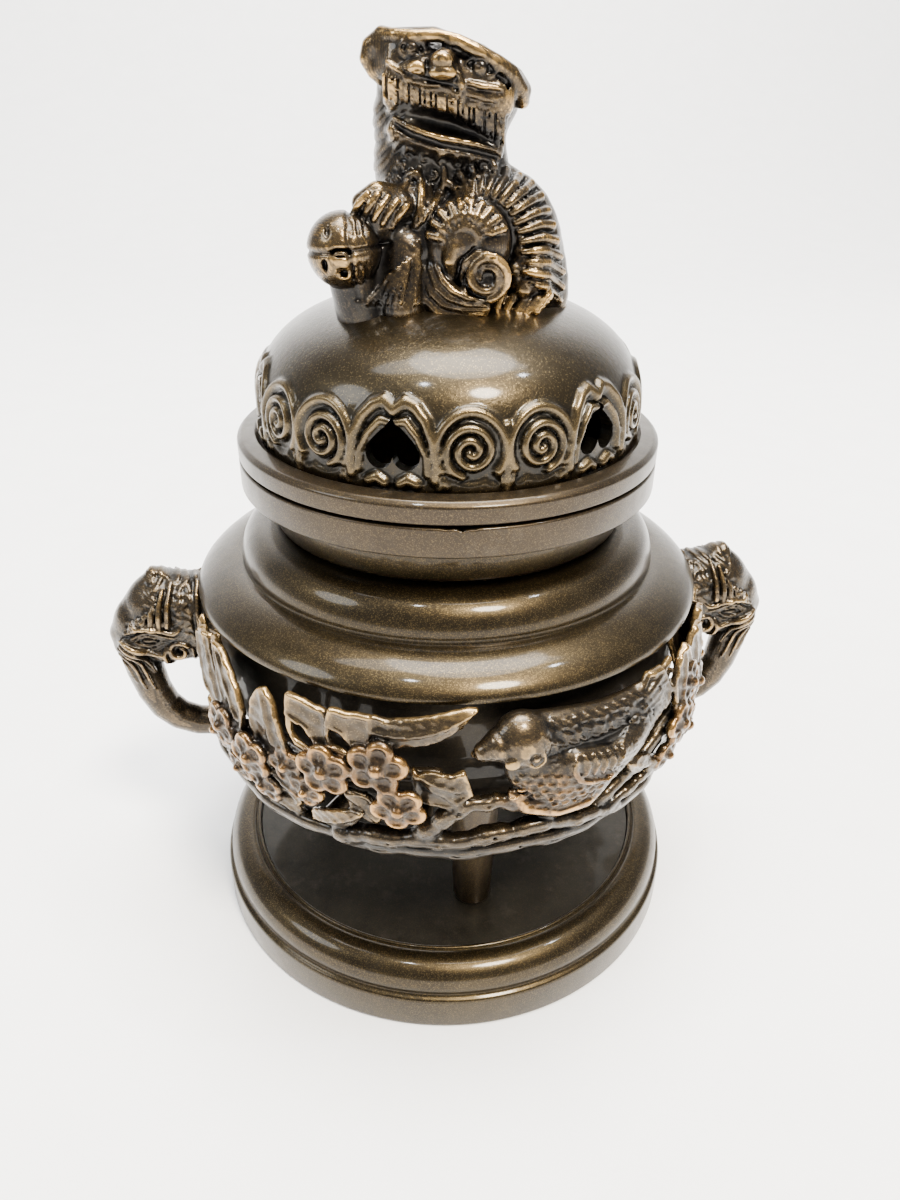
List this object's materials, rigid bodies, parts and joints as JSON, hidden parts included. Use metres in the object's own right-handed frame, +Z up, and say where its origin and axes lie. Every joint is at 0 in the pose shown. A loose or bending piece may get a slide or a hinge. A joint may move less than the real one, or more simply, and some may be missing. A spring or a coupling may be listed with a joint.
{
  "type": "incense burner",
  "caption": "Lidded metal incense burner: footed openwork bowl with elephant-head handles, pierced dome lid with a guardian lion, lift-out ash liner and round stand.",
  "frame": {"origin": "centre of the stand's underside, at the level of the table", "axes": "+Z up, the two handles along X, the bird on the front at -Y"},
  "size_m": [0.1036, 0.0846, 0.1272],
  "materials": {
    "lacquered_bronze": "semi-gloss dark olive-brown metallic lacquer with fine gold flake",
    "cast_bronze": "cast relief, dark antique patina with rubbed golden high points",
    "copper_relief": "cast relief rubbed with copper-gold on dark patina",
    "dark_bronze": "dark satin patina, slightly dusty",
    "brass_liner": "spun, satin, heat-tarnished",
    "steel_screws": "zinc-plated",
    "felt": "pressed felt"
  },
  "bodies": {
    "burner": {"base_ring": "lacquered_bronze", "base_plate": "dark_bronze", "felt_pad": "felt", "leg_front": "cast_bronze", "leg_right": "cast_bronze", "leg_left": "cast_bronze", "leg_screws": "steel_screws", "bowl": "dark_bronze", "upper_shell": "lacquered_bronze", "mouth_ring": "lacquered_bronze", "elephant_handle_left": "cast_bronze", "elephant_handle_right": "cast_bronze", "handle_screws": "steel_screws", "branches_front": "cast_bronze", "branches_rear": "cast_bronze", "leaves_front": "cast_bronze", "leaves_rear": "cast_bronze", "blossoms_front": "copper_relief", "blossoms_rear": "copper_relief", "bird_front": "cast_bronze", "bird_rear": "cast_bronze"},
    "lid": {"lid_flange": "lacquered_bronze", "lid_dome": "lacquered_bronze", "lid_scrolls": "lacquered_bronze", "lion_body": "cast_bronze", "lion_head": "cast_bronze", "lion_haunches": "cast_bronze", "lion_ball": "cast_bronze", "finial_screw": "steel_screws", "finial_washer": "steel_screws"},
    "liner": {"ash_liner": "brass_liner"}
  },
  "joints": [
    {"name": "lid_lift", "type": "slide", "parent": "burner", "child": "lid", "axis": [0, 0, 1], "range_m": [0, 0.06]},
    {"name": "liner_lift", "type": "slide", "parent": "burner", "child": "liner", "axis": [0, 0, 1], "range_m": [0, 0.011]}
  ]
}
